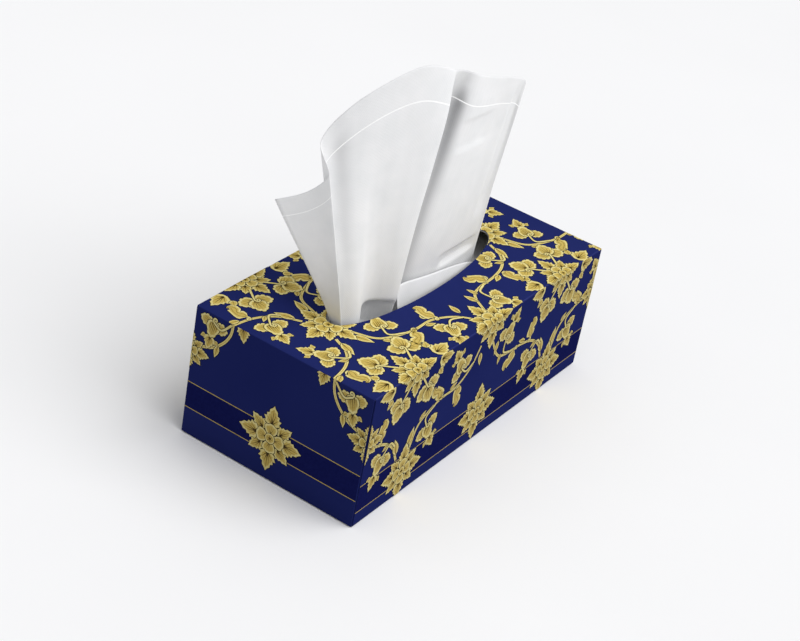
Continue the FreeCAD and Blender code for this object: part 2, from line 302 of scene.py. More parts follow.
def ink_finish(name, low, high, gloss):
    finish = Finish(name)
    ink = finish.between(finish.noise(700.0), low, high, 0.35, 0.65)
    # Painted shade darkens the ink on the upright panels
    finish.colour(ink_with_painted_side_shade(finish, ink))
    finish.roughness(0.5)
    finish.gloss(gloss)
    finish.bump(finish.noise(GRAIN_SCALE, 2.0), *GRAIN_BUMP)
    return finish.material


def tissue_finish():
    """Soft two-ply paper: creping, a fine pressed pattern, a pressed line by the free edge with
    a painted highlight in its white, faint mottling, and painted shade in the deep folds."""
    finish = Finish("tissue_paper")
    uv = finish.nodes.new("ShaderNodeUVMap")
    uv.uv_map = "sheet"
    across, down, _ = finish.parts(uv.outputs["UV"])
    paper = finish.between(finish.noise(60.0, 4.0), *PAPER)
    # Painted shade: grey mixed into the paper in the pulled sheet's deep folds
    shade = finish.nodes.new("ShaderNodeAttribute")
    shade.attribute_name = "painted_fold_shade"
    paper = finish.mix(shade.outputs["Fac"], paper, linear(PAINTED_FOLD_GREY))
    from_line = finish.maths("ABSOLUTE", finish.maths("SUBTRACT", down, PRESSED_LINE * MM))
    line = finish.maths("LESS_THAN", from_line, PRESSED_LINE_HALF * MM)
    # The pressed line's white is a painted highlight; its ridge is the bump below
    finish.colour(finish.mix(line, paper, linear(PAINTED_LINE_HIGHLIGHT)))
    finish.roughness(0.92)
    crepe = finish.noise(1500.0, 2.0, finish.stretched((0.5, 2.0, 1.0), uv.outputs["UV"]))
    finish.bump(crepe, 0.25, 0.00012)
    phase_a_metre = 2 * math.pi / (EMBOSS_PITCH * MM)
    wave_across = finish.maths("SINE", finish.maths("MULTIPLY", across, phase_a_metre))
    wave_down = finish.maths("SINE", finish.maths("MULTIPLY", down, phase_a_metre))
    finish.bump(finish.maths("MULTIPLY", wave_across, wave_down), 0.18, 0.0001)
    finish.bump(line, 0.2, 0.0002)
    finish.surface.inputs["Sheen Weight"].default_value = 0.15
    return finish.material


def stack_finish():
    finish = Finish("tissue_stack_paper")
    finish.colour(finish.between(finish.noise(80.0, 4.0), *STACK_PAPER))
    finish.roughness(0.94)
    finish.bump(finish.noise(900.0, 3.0, finish.stretched((0.2, 1.0, 3.0))), 0.3, 0.0002)
    return finish.material


# Print

class Art:
    """Flat shapes in a panel's plane, kept with their layer and tone. A place in the plane
    is a complex number: millimetres from the panel's left edge and down from its top edge."""

    def __init__(self):
        self.shapes = []

    def area(self, loop, layer, tone):
        flat = [Vector((p.real, p.imag, 0.0)) for p in loop]
        triangles = geometry.tessellate_polygon([flat])
        self.shapes.append((loop, triangles, layer, TONES.index(tone)))

    def strip(self, left, right, layer, tone):
        last = len(left)
        quads = [(k, k + 1, last + k + 1, last + k) for k in range(last - 1)]
        self.shapes.append((list(left) + list(right), quads, layer, TONES.index(tone)))


def both_sides(profile):
    """Closed outline of a shape that is the same on both sides of its middle line."""
    near = [complex(along, out) for along, out in profile]
    far = [complex(along, -out) for along, out in profile if out > 0]
    return near + far[::-1]


def turned(loop, centre, degrees, size):
    factor = cmath.rect(size, math.radians(degrees))
    return [centre + factor * p for p in loop]


def grown(loop, distance):
    """A closed outline moved outwards by a distance."""
    count = len(loop)
    twice_area = sum((loop[k - 1].conjugate() * loop[k]).imag for k in range(count))
    outward = -1j if twice_area > 0 else 1j
    result = []
    for k in range(count):
        ahead = loop[(k + 1) % count] - loop[k - 1]
        result.append(loop[k] + outward * distance * ahead / max(abs(ahead), 1e-6))
    return result


def smooth_curve(points, steps):
    """Points along a smooth curve through the given ones."""
    ends = [2 * points[0] - points[1], *points, 2 * points[-1] - points[-2]]
    curve = []
    for k in range(len(points) - 1):
        a, b, c, d = ends[k:k + 4]
        for step in range(steps):
            t = step / steps
            curve.append(0.5 * (
                2 * b + (c - a) * t + (2 * a - 5 * b + 4 * c - d) * t ** 2
                + (3 * b - a - 3 * c + d) * t ** 3
            ))
    curve.append(points[-1])
    return curve


def ribbon_sides(curve, widths):
    """The two sides of a ribbon along a curve."""
    left = []
    right = []
    last = len(curve) - 1
    for k, point in enumerate(curve):
        ahead = curve[min(k + 1, last)] - curve[max(k - 1, 0)]
        side = 1j * ahead / max(abs(ahead), 1e-6) * widths[k] / 2
        left.append(point + side)
        right.append(point - side)
    return left, right


TREFOIL = both_sides((
    (0.0, 0.12), (0.09, 0.25), (0.16, 0.37), (0.27, 0.34), (0.41, 0.43), (0.44, 0.29),
    (0.57, 0.32), (0.62, 0.20), (0.77, 0.19), (0.87, 0.08), (1.0, 0.0),
))
ROUND_PETAL = both_sides((
    (0.0, 0.26), (0.2, 0.44), (0.45, 0.58), (0.70, 0.60), (0.86, 0.50), (0.88, 0.32),
    (0.99, 0.20), (1.0, 0.0),
))
POINTED = both_sides((
    (0.0, 0.0), (0.12, 0.13), (0.32, 0.21), (0.52, 0.20), (0.72, 0.13), (0.88, 0.05), (1.0, 0.0),
))
SCALLOP = both_sides((
    (0.0, 0.12), (0.08, 0.28), (0.20, 0.41), (0.33, 0.45), (0.40, 0.38), (0.52, 0.46), (0.64, 0.42),
    (0.68, 0.32), (0.80, 0.31), (0.90, 0.20), (0.90, 0.12), (1.0, 0.06), (1.0, 0.0),
))
BULB = both_sides((
    (0.0, 0.14), (0.06, 0.28), (0.20, 0.38), (0.40, 0.40), (0.58, 0.34), (0.72, 0.26), (0.80, 0.27),
    (0.90, 0.20), (0.92, 0.10), (1.0, 0.05), (1.0, 0.0),
))
# Veins of a petal, each from its root to its tip
TREFOIL_VEINS = (
    (0.1, 0.86), (0.1, 0.64 + 0.14j), (0.1, 0.64 - 0.14j),
    (0.1, 0.42 + 0.27j), (0.1, 0.42 - 0.27j),
)
SCALLOP_VEINS = (
    (0.05, 0.85), (0.05, 0.72 + 0.22j), (0.05, 0.72 - 0.22j),
    (0.05, 0.48 + 0.34j), (0.05, 0.48 - 0.34j),
)
ROUND_VEINS = ((0.1, 0.80), (0.1, 0.74 + 0.26j), (0.1, 0.74 - 0.26j))
BULB_VEINS = (
    (0.12, 0.86), (0.12 + 0.1j, 0.80 + 0.09j), (0.12 - 0.1j, 0.80 - 0.09j),
    (0.14 + 0.2j, 0.62 + 0.2j), (0.14 - 0.2j, 0.62 - 0.2j),
)
LEAF_VEINS = ((0.05, 0.85),)
VEIN_ROOT = 0.028
# A petal's darker middle is its outline, drawn in towards a point on its middle line
CORE_SHARE = 0.74
CORE_MIDDLE = 0.42


def petal(art, shape, veins, root, degrees, size, layer):
    """Petal or leaf: dark outline, light edge, darker middle and fine veins."""
    body = turned(shape, root, degrees, size)
    art.area(grown(body, OUTLINE), layer, "outline")
    art.area(body, layer + 1, "rim")
    core = [CORE_MIDDLE + (p - CORE_MIDDLE) * CORE_SHARE for p in shape]
    art.area(turned(core, root, degrees, size), layer + 2, "face")
    for start, tip in veins:
        side = 1j * VEIN_ROOT * (tip - start) / abs(tip - start)
        vein = turned((start + side, start - side, tip), root, degrees, size)
        art.area(vein, layer + 3, "vein")


def disc(art, centre, radius, layer):
    """Round centre of a flower, with six short rays."""
    ring = [cmath.rect(1.0, 2 * math.pi * k / 16) for k in range(16)]
    art.area(turned(ring, centre, 0, radius + OUTLINE), layer, "outline")
    art.area(turned(ring, centre, 0, radius), layer + 1, "rim")
    art.area(turned(ring, centre, 0, radius * 0.78), layer + 2, "face")
    for k in range(6):
        ray = turned((0.12j, -0.12j, 0.7), centre, 60 * k + 15, radius)
        art.area(ray, layer + 3, "vein")


# Rings of a flower, from below: directions, shape, veins, and where a petal starts and how
# long it is as shares of the flower's radius
FLOWER_RINGS = (
    ((40, 140, 220, 320), TREFOIL, TREFOIL_VEINS, 0.30, 0.52),
    ((0, 90, 180, 270), TREFOIL, TREFOIL_VEINS, 0.36, 0.64),
    ((0, 90, 180, 270), ROUND_PETAL, ROUND_VEINS, 0.10, 0.34),
)


def flower(art, centre, radius):
    """Main flower: four leaves, four longer ones between them, four round petals and a centre."""
    layer = FLOWER_LAYER
    for directions, shape, veins, start, length in FLOWER_RINGS:
        for degrees in directions:
            root = centre + cmath.rect(start * radius, math.radians(degrees))
            petal(art, shape, veins, root, degrees, length * radius, layer)
        layer += 4
    disc(art, centre, 0.15 * radius, layer)


def walk(place, heading, turn, bends, steps):
    """Path that turns by each bend, in degrees, and then goes on by its step."""
    path = [place]
    for degrees, step in zip(bends, steps):
        heading += turn * math.radians(degrees)
        place += cmath.rect(step, heading)
        path.append(place)
    return path


def tapered(first, final, count):
    return [first + (final - first) * k / (count - 1) for k in range(count)]


def stem(art, curve, widths, layer):
    """Stem along a curve: its dark outline and its light body."""
    art.strip(*ribbon_sides(curve, [w + 2 * OUTLINE for w in widths]), layer, "outline")
    art.strip(*ribbon_sides(curve, widths), layer + 1, "rim")


def vine(art, points):
    """Main stem, with a darker line along its middle."""
    curve = smooth_curve(points, 7)
    widths = tapered(1.5, 1.7, len(curve))
    stem(art, curve, widths, VINE_LAYER)
    art.strip(*ribbon_sides(curve, [0.3 * w for w in widths]), VINE_LAYER + 2, "face")


def curl(art, start, degrees, size, turn, layer):
    """Stem that leaves its vine and curls in on itself; turn is 1 or -1."""
    bends = [3 + 1.7 * k for k in range(22)]
    curve = walk(start, math.radians(degrees), turn, bends, [size / 11] * 22)
    stem(art, curve, tapered(1.3, 0.7, len(curve)), layer)


def hook(art, start, bulge, end):
    """Curved stem from a vine into the mouth of a blossom, where it ends in a small curl."""
    curve = smooth_curve((start, bulge, end), 8)
    heading = cmath.phase(curve[-1] - curve[-3])
    turn = 1 if ((end - bulge).conjugate() * (bulge - start)).imag < 0 else -1
    bends = [20 + 2.5 * k for k in range(12)]
    steps = [0.8 - 0.03 * k for k in range(12)]
    curve += walk(curve[-1], heading, turn, bends, steps)[1:]
    stem(art, curve, tapered(1.35, 0.8, len(curve)), HOOK_LAYER)


def blossom(art, mouth, degrees, size):
    """Flower seen from the side: two scalloped petals, a long end leaf, a bulb and two buds."""
    ahead = cmath.rect(size, math.radians(degrees))

    def part(shape, veins, place, angle, length, layer):
        petal(art, shape, veins, mouth + ahead * place, degrees + angle, length * size, layer)

    for side in (1, -1):
        bud = complex(0.98, side * 0.34)
        wing = complex(0.14, side * 0.12)
        part(TREFOIL, LEAF_VEINS, bud, side * 48, 0.34, LEAF_LAYER)
        part(SCALLOP, SCALLOP_VEINS, wing, side * 98, 0.80, LEAF_LAYER)
    part(TREFOIL, TREFOIL_VEINS, 0.84, 0, 0.92, LEAF_LAYER)
    part(BULB, BULB_VEINS, -0.12, 0, 1.06, LEAF_LAYER + 4)


def palmette(art, root, degrees, size):
    """Lobed leaf of three scalloped petals, the middle one on top."""
    for spread, length, layer in ((78, 1.0, 0), (-78, 1.0, 2), (0, 1.1, 4)):
        petal(
            art, SCALLOP, SCALLOP_VEINS, root, degrees + spread, size * length, LEAF_LAYER + layer
        )


PAISLEY_WIDTHS = (0.12, 0.38, 0.54, 0.52, 0.40, 0.36, 0.44, 0.50, 0.44, 0.28, 0.12, 0.01)
PAISLEY_TURNS = (24, 16, 6, -14, -24, -22, -6, 18, 34, 40, 36)


def paisley(art, base, degrees, size, turn):
    """Leaf that swells twice and bends one way and then the other."""
    steps = [size / 11] * len(PAISLEY_TURNS)
    spine = walk(base, math.radians(degrees), turn, PAISLEY_TURNS, steps)
    widths = [w * size for w in PAISLEY_WIDTHS]
    stem(art, spine, widths, LEAF_LAYER)
    art.strip(*ribbon_sides(spine, [w * 0.66 for w in widths]), LEAF_LAYER + 2, "face")
    for share in (0.32, -0.32):
        vein, _ = ribbon_sides(spine, [w * share for w in widths])
        art.strip(*ribbon_sides(vein, [0.22] * len(vein)), LEAF_LAYER + 3, "vein")
    curl(art, base, degrees + 130, 0.28 * size, -turn, LEAF_LAYER)


# One spray: its parts are placed from the flower that its two vines leave
SPRAY_VINES = (
    (-74 - 52j, -64 - 37j, -54 - 33j, -37 - 32j, -24 - 29j, -14 - 22j, -8 - 11j),
    (61.5 - 52j, 54.5 - 41j, 42.5 - 34j, 26.5 - 33j, 9.5 - 26j, 3.5 - 12j),
)
# Blossoms: mouth, direction, where the stem leaves its vine and where it bulges to
SPRAY_BLOSSOMS = (
    (-23.5 - 20j, 112, -12 - 22j, -17 - 26j),
    (18 - 20j, 60, 23 - 32j, 15.5 - 27j),
    (45 - 44j, -122, 57 - 44j, 50 - 41j),
    (-57 - 45j, -58, -50 - 33j, -57 - 36j),
)
# Paisleys: base, direction and turn; pointed leaves: root, direction and length
SPRAY_PAISLEYS = (
    (-27 - 33j, -70, -1), (27 - 34j, -150, 1), (46 - 33j, 75, 1), (-44 - 31j, 150, -1),
)
SPRAY_LEAVES = (
    (-9 - 15j, -108, 12), (1.5 - 15j, -74, 12), (-19 - 27j, 150, 6), (9 - 28j, -40, 7),
    (36 - 35j, -20, 7), (-33 - 33j, 200, 8), (-60 - 36j, 100, 7), (30 - 33j, -160, 6),
)


def spray(art, centre, flip=1, stretch=1.0):
    """Flower with two vines, and the blossoms, leaves and curled stems along them."""

    def spot(local):
        along = local.real * (stretch if local.real > 0 else 1.0)
        return centre + complex(along, local.imag * flip)

    for points in SPRAY_VINES:
        vine(art, [spot(p) for p in points])
    for mouth, degrees, start, bulge in SPRAY_BLOSSOMS:
        blossom(art, spot(mouth), degrees * flip, 11.0)
        hook(art, spot(start), spot(bulge), spot(mouth))
    for local, degrees, turn in SPRAY_PAISLEYS:
        paisley(art, spot(local), degrees * flip, 15, turn * flip)
    for local, degrees, size in SPRAY_LEAVES:
        petal(art, POINTED, LEAF_VEINS, spot(local), degrees * flip, size, LEAF_LAYER)


def cluster(art, centre, radius, flip=1):
    """Flower on a fold, with a palmette at each lower side, side leaves and buds."""
    for side in (-1, 1):
        outward = 0 if side > 0 else 180
        turn = side * flip
        low = centre + complex(side * 12, 16 * flip)
        palmette(art, low, outward + turn * 68, 10.5)
        start = centre + complex(side * 6, 8 * flip)
        bulge = centre + complex(side * 9, 12 * flip)
        hook(art, start, bulge, low)
        far = centre + complex(side * (radius + 3), 3 * flip)
        bud = far + complex(side * 1, 6 * flip)
        petal(art, TREFOIL, TREFOIL_VEINS, far, outward + turn * 6, 13.5, SIDE_LEAF_LAYER)
        petal(art, TREFOIL, LEAF_VEINS, bud, outward + turn * 50, 6, SIDE_LEAF_LAYER)
    flower(art, centre, radius)


def fold_middle(art, fold, flip):
    """Flower in the middle of a long fold, with two pointed leaves under it."""
    flower(art, complex(112, fold), 18.5)
    for across, degrees in ((103, 80), (121, 100)):
        root = complex(across, fold + flip * 17)
        petal(art, POINTED, LEAF_VEINS, root, flip * degrees, 9, LEAF_LAYER)


def corner_vine(art, edge, side):
    """Vine, blossom, leaves and flower in an upper corner of an end panel."""
    outward = 0 if side > 0 else 180

    def spot(along, down):
        return edge + complex(side * along, down)

    vine(art, [spot(along, down) for along, down in CORNER_VINE])
    mouth = spot(13, 5)
    blossom(art, mouth, outward + side * 100, 10)
    hook(art, spot(24, 1), spot(18, 7), mouth)
    petal(art, POINTED, LEAF_VEINS, spot(17, 17), outward + side * 100, 8, LEAF_LAYER)
    petal(art, TREFOIL, TREFOIL_VEINS, spot(31, -2), outward + side * 80, 10, LEAF_LAYER)
    flower(art, spot(-1, 27), 13.5)


def band_art(art, width, upper, lower):
    """Darker band between two thin gold lines."""
    strips = (
        (upper, lower, 0, "band"),
        (upper - LINE_HALF_WIDTH, upper + LINE_HALF_WIDTH, 1, "face"),
        (lower - LINE_HALF_WIDTH, lower + LINE_HALF_WIDTH, 1, "face"),
    )
    for top, bottom, layer, tone in strips:
        upper_side = (complex(0, top), complex(width, top))
        lower_side = (complex(0, bottom), complex(width, bottom))
        art.strip(upper_side, lower_side, layer, tone)


CORNER_VINE = ((25, -1), (24, 7), (20, 14), (13, 20), (4, 23))
# Heights of the band's two lines below the top fold
LONG_BAND = (54.2, 71.2)
END_BAND = (47.2, 63.2)
# Where the clusters on a long fold stand along it
CLUSTERS = (39.0, 186.0)


def long_panel_art():
    art = Art()
    band_art(art, LENGTH, *LONG_BAND)
    for across in (40.5, 187.0):
        spray(art, complex(across, 64))
        flower(art, complex(across, 64), 18.5)
    for across in CLUSTERS:
        cluster(art, complex(across, -1), 17.5)
    flower(art, 113 + 60j, 19)
    fold_middle(art, 0, 1)
    for across in (0.0, LENGTH):
        flower(art, complex(across, 28), 14)
    return art


def end_panel_art():
    art = Art()
    band_art(art, WIDTH, *END_BAND)
    flower(art, 57.5 + 54.3j, 20.5)
    for edge, side in ((0.0, 1), (WIDTH, -1)):
        corner_vine(art, edge, side)
    return art


def top_panel_art():
    art = Art()
    for across in (38.0, 187.5):
        middle = complex(across, WIDTH / 2)
        for flip in (1, -1):
            spray(art, middle, flip, 1.1)
        flower(art, middle, 19)
    for fold, flip in ((WIDTH, -1), (0.0, 1)):
        for across in CLUSTERS:
            cluster(art, complex(across, fold + flip), 17.5, flip)
        fold_middle(art, fold, flip)
        for across, turn in ((87, 1), (142, -1)):
            start = complex(across, fold + flip * 24)
            curl(art, start, flip * 90 - turn * flip * 20, 9, turn * flip, CURL_LAYER)
    return art


class Panel:
    """One outer face of the carton, with the folds that bound it and the strip on its left,
    right, top and bottom that has no print."""

    def __init__(self, art, left_top, across, down, width, height, folds, trim):
        self.art = art
        self.left_top = Vector(left_top)
        self.across = Vector(across)
        self.down = Vector(down)
        self.outward = self.down.cross(self.across)
        self.width = width
        self.height = height
        self.folds = folds
        self.trim = trim

    def sheet(self):
        """The panel's shapes as one flat mesh; the third coordinate is the layer."""
        flat = bmesh.new()
        for loop, faces, layer, tone in self.art.shapes:
            vertices = [flat.verts.new((p.real, p.imag, layer)) for p in loop]
            for corners in faces:
                face = flat.faces.new([vertices[k] for k in corners])
                face.material_index = tone
        left, right, top, bottom = self.trim
        self.cut(flat, (left, 0), (-1, 0), clear=True)
        self.cut(flat, (self.width - right, 0), (1, 0), clear=True)
        self.cut(flat, (0, top), (0, -1), clear=True)
        self.cut(flat, (0, self.height - bottom), (0, 1), clear=True)
        for step in range(1, FOLD_CUTS + 1):
            near = FOLD_RADIUS * step / FOLD_CUTS
            spots = {
                "left": ((near, 0), (1, 0)), "right": ((self.width - near, 0), (1, 0)),
                "top": ((0, near), (0, 1)), "bottom": ((0, self.height - near), (0, 1)),
            }
            for name in self.folds:
                self.cut(flat, *spots[name])
        return flat

    def cut(self, flat, place, normal, clear=False):
        """Cut the mesh along a line; clear takes away what lies beyond it."""
        everything = flat.verts[:] + flat.edges[:] + flat.faces[:]
        bmesh.ops.bisect_plane(
            flat, geom=everything, dist=CUT_TOLERANCE,
            plane_co=(*place, 0), plane_no=(*normal, 0), clear_outer=clear
        )

    def place(self, point):
        """Where a point of the flat mesh lies on the carton, in millimetres."""
        across, down, layer = point
        sink = 0.0
        normal = self.outward.copy()
        if "left" in self.folds and across < self.width / 2:
            across, depth, normal = bend(across, normal, -self.across)
            sink += depth
        elif "right" in self.folds:
            away, depth, normal = bend(self.width - across, normal, self.across)
            across = self.width - away
            sink += depth
        if "top" in self.folds and down < self.height / 2:
            down, depth, normal = bend(down, normal, -self.down)
            sink += depth
        elif "bottom" in self.folds and down > self.height / 2:
            away, depth, normal = bend(self.height - down, normal, self.down)
            down = self.height - away
            sink += depth
        spot = self.left_top + self.across * across + self.down * down - self.outward * sink
        return spot + normal * (INK_BASE + INK_STEP * layer)


def bend(distance, normal, beyond):
    """Carry a distance from a fold round half of its arc: new distance, depth and normal."""
    if distance >= FOLD_RADIUS:
        return distance, 0.0, normal
    angle = (1 - distance / FOLD_RADIUS) * math.pi / 4
    tilted = normal * math.cos(angle) + beyond * math.sin(angle)
    return FOLD_RADIUS * (1 - math.sin(angle)), FOLD_RADIUS * (1 - math.cos(angle)), tilted


def cut_opening(flat):
    """Cut the top panel's print along the rim of the oval opening."""
    across = OPENING_LENGTH / 2 + OPENING_RIM
    down = OPENING_WIDTH / 2 + OPENING_RIM
    centre = complex(LENGTH / 2, WIDTH / 2)
    turns = [2 * math.pi * k / RIM_SIDES for k in range(RIM_SIDES)]
    rim = [centre + complex(across * math.cos(turn), down * math.sin(turn)) for turn in turns]
    for k in range(RIM_SIDES):
        start, end = rim[k - 1], rim[k]
        near = [face for face in flat.faces if touches(face, start, end)]
        if not near:
            continue
        edges = {edge for face in near for edge in face.edges}
        vertices = {vertex for face in near for vertex in face.verts}
        normal = (end - start) * -1j
        bmesh.ops.bisect_plane(
            flat, geom=near + list(edges) + list(vertices), dist=CUT_TOLERANCE,
            plane_co=(start.real, start.imag, 0), plane_no=(normal.real, normal.imag, 0)
        )
    inside = []
    for face in flat.faces:
        spot = face.calc_center_median()
        if ((spot.x - centre.real) / across) ** 2 + ((spot.y - centre.imag) / down) ** 2 < 1:
            inside.append(face)
    bmesh.ops.delete(flat, geom=inside, context="FACES")


def touches(face, start, end):
    """Whether a face's bounds meet those of the line from start to end."""
    xs = [vertex.co.x for vertex in face.verts]
    ys = [vertex.co.y for vertex in face.verts]
    return (
        min(xs) <= max(start.real, end.real) and max(xs) >= min(start.real, end.real)
        and min(ys) <= max(start.imag, end.imag) and max(ys) >= min(start.imag, end.imag)
    )


def carton_panels():
    half_length = LENGTH / 2
    half_width = WIDTH / 2
    end_trim = BOARD + FLAP_SET_IN
    long_art = long_panel_art()
    end_art = end_panel_art()
    x_axis, y_axis, z_down = (1, 0, 0), (0, 1, 0), (0, 0, -1)
    back_x, back_y = (-1, 0, 0), (0, -1, 0)
    return (
        Panel(long_art, (-half_length, -half_width, HEIGHT), x_axis, z_down, LENGTH, HEIGHT,
              ("top", "bottom"), (end_trim, end_trim, 0, 0)),
        Panel(long_art, (half_length, half_width, HEIGHT), back_x, z_down, LENGTH, HEIGHT,
              ("top", "bottom"), (end_trim, end_trim, 0, 0)),
        Panel(end_art, (-half_length, half_width, HEIGHT), back_y, z_down, WIDTH, HEIGHT,
              ("top",), (FLAP_SET_IN, FLAP_SET_IN, 0, FLAP_SET_IN)),
        Panel(end_art, (half_length, -half_width, HEIGHT), y_axis, z_down, WIDTH, HEIGHT,
              ("top",), (FLAP_SET_IN, FLAP_SET_IN, 0, FLAP_SET_IN)),
        Panel(top_panel_art(), (-half_length, half_width, HEIGHT), x_axis, back_y, LENGTH, WIDTH,
              ("left", "right", "top", "bottom"), (0, 0, 0, 0)),
    )


def make_print():
    whole = bmesh.new()
    for panel in carton_panels():
        flat = panel.sheet()
        if panel.height == WIDTH:
            cut_opening(flat)
        for vertex in flat.verts:
            vertex.co = panel.place(vertex.co) * MM
        piece = bpy.data.meshes.new("panel_print")
        flat.to_mesh(piece)
        flat.free()
        whole.from_mesh(piece)
        bpy.data.meshes.remove(piece)
    mesh = bpy.data.meshes.new("gold_scroll_print")
    whole.to_mesh(mesh)
    whole.free()
    for ink in INKS:
        mesh.materials.append(ink_finish(*ink))
    add_piece("gold_scroll_print", mesh, "gold_print", "gold_print")


# Sheets

# Stations across the pulled sheet: where it passes the rim (x, y), its free edge (x, y and
# height over the rim), and how far the part below that edge is pushed (x, y)
PULLED_STATIONS = (
    (-70.2, 3.2, -94.0, 33.0, 66.0, 0.0, 0.0),
    (-70.7, 2.2, -91.0, 27.0, 69.0, 0.0, 0.0),
    (-71.0, 0.4, -87.8, 20.0, 73.0, 0.0, 0.0),
    (-70.9, -2.0, -88.0, 12.0, 81.0, 0.0, 0.0),
    (-70.6, -3.8, -91.2, 5.2, 90.0, 0.0, 0.0),
    (-70.4, -4.4, -90.6, 5.0, 91.6, 0.0, 0.0),
    (-70.0, -2.8, -89.0, 10.2, 96.4, 0.0, 0.0),
    (-70.4, -0.6, -88.2, 14.8, 101.0, 0.0, 0.0),
    (-69.2, -0.4, -87.0, 16.4, 103.0, 0.0, 0.0),
    (-67.4, -3.2, -84.0, 15.4, 110.0, 0.0, 0.0),
    (-64.0, -6.4, -79.5, 11.4, 118.0, 0.0, 0.0),
    (-58.5, -8.0, -73.0, 5.2, 128.0, 0.0, 0.0),
    (-53.5, -3.6, -65.0, -1.0, 135.0, 0.0, 0.0),
    (-47.0, -3.8, -55.5, -7.0, 141.0, 0.0, 0.0),
    (-42.0, -8.2, -44.5, -12.0, 145.0, 0.0, -1.0),
    (-38.5, -12.2, -34.0, -15.0, 142.0, 0.0, -2.0),
    (-35.8, -13.8, -26.5, -17.0, 138.5, 0.5, -2.9),
    (-35.0, -12.6, -24.0, -16.8, 137.6, -0.6, -1.5),
    (-36.4, -9.6, -21.5, -16.0, 136.6, -4.6, 3.0),
    (-36.8, -6.2, -18.5, -15.2, 135.6, -6.6, 8.8),
    (-34.0, -4.0, -15.0, -14.8, 134.4, 3.0, 11.6),
    (-29.5, -3.9, -11.0, -15.0, 133.0, 8.0, 9.4),
    (-22.0, -5.6, -5.5, -15.6, 130.6, 3.0, 1.0),
    (-8.0, -8.0, 5.0, -17.0, 126.4, -3.0, -1.2),
    (10.0, -8.8, 20.0, -18.2, 122.0, -2.0, 0.0),
    (29.0, -8.6, 31.5, -20.2, 119.6, 0.0, 1.0),
    (46.0, -7.8, 41.0, -22.2, 116.6, 0.0, 0.0),
    (56.0, -6.4, 47.0, -21.0, 111.4, 0.0, 0.0),
    (60.0, -4.0, 49.0, -17.0, 105.0, 0.0, 0.0),
    (59.0, -1.4, 48.5, -12.0, 100.5, 0.0, 0.0),
)
# Rows up the pulled sheet: share of the way from the rim to the free edge, and of the push
PULLED_ROWS = ((0.18, 0.0), (0.42, 0.25), (0.66, 0.7), (0.84, 1.0), (0.93, 0.35), (1.0, 0.0))
# Free edge of the next sheet: x, y and height over the rim
NEXT_EDGE = (
    (-98.0, -8.0, -17.0), (-76.0, -9.0, -16.4), (-58.0, -13.0, -16.0), (-46.0, -15.8, -15.5),
    (-38.0, -17.6, -15.5), (-34.5, -17.6, -15.0), (-32.8, -16.4, -11.0), (-32.2, -14.2, -4.5),
    (-31.6, -12.2, 1.0), (-30.8, -10.6, 6.5), (-29.4, -9.7, 9.6), (-24.0, -9.6, 9.6),
    (-14.0, -10.8, 8.2), (0.0, -12.0, 6.4), (15.0, -12.2, 4.4), (28.0, -12.0, 1.8),
    (40.0, -11.4, -1.5), (50.0, -10.2, -6.0), (60.0, -8.6, -11.0), (78.0, -7.0, -15.6),
    (98.0, -8.0, -17.0),
)
NEXT_EDGE_HALF = 98.0


def pulled_net():
    """Poles of the pulled sheet, from the end of its tail up to its top edge."""
    net = []
    last = len(PULLED_STATIONS) - 1
    tail_end_y = -OPENING_WIDTH / 4 - TAIL_LENGTH
    for number, station in enumerate(PULLED_STATIONS):
        rim_x, rim_y, crest_x, crest_y, crest_z, push_x, push_y = station
        tail_x = SHEET_WIDTH * (number / last - 0.5)
        column = [
            (tail_x, tail_end_y, TAIL_Z),
            (0.85 * tail_x + 0.15 * rim_x, tail_end_y + 0.5 * TAIL_LENGTH, TAIL_Z),
            (0.2 * tail_x + 0.8 * rim_x, rim_y - 3.0, TAIL_Z),
            (rim_x, rim_y, TAIL_Z + 7.0),
            (rim_x, rim_y, HEIGHT - 2.0),
        ]
        for share, push in PULLED_ROWS:
            x = rim_x + (crest_x - rim_x) * share + push_x * push
            y = rim_y + (crest_y - rim_y) * share + push_y * push
            column.append((x, y, HEIGHT + crest_z * share))
        net.append(column)
    return np.array(net)


def next_net():
    """Poles of the next sheet: lower half, folded edge, upper half and raised free edge."""
    net = []
    half = STACK_WIDTH / 2
    middle = (LOWER_HALF_Z + UPPER_HALF_Z) / 2
    for x, y, rise in NEXT_EDGE:
        flat_x = x / NEXT_EDGE_HALF * SHEET_WIDTH / 2
        lift = max(0.0, rise + HEIGHT - UPPER_HALF_Z)
        net.append([
            (flat_x, half - 4.0, LOWER_HALF_Z),
            (flat_x, 0.0, LOWER_HALF_Z),
            (flat_x, -half + 4.0, LOWER_HALF_Z),
            (flat_x, -half, LOWER_HALF_Z - 0.1),
            (flat_x, -half - 1.0, middle),
            (flat_x, -half, UPPER_HALF_Z + 0.1),
            (flat_x, -half + 4.0, UPPER_HALF_Z),
            (0.5 * flat_x + 0.5 * x, y - 16.0, UPPER_HALF_Z),
            (x, min(y - 5.0, -OPENING_WIDTH / 2), UPPER_HALF_Z + 0.1 * lift),
            (x, y - 2.4, UPPER_HALF_Z + 0.45 * lift),
            (x, y - 1.6, UPPER_HALF_Z + 0.75 * lift),
            (x, y, HEIGHT + rise),
        ])
    return np.array(net)


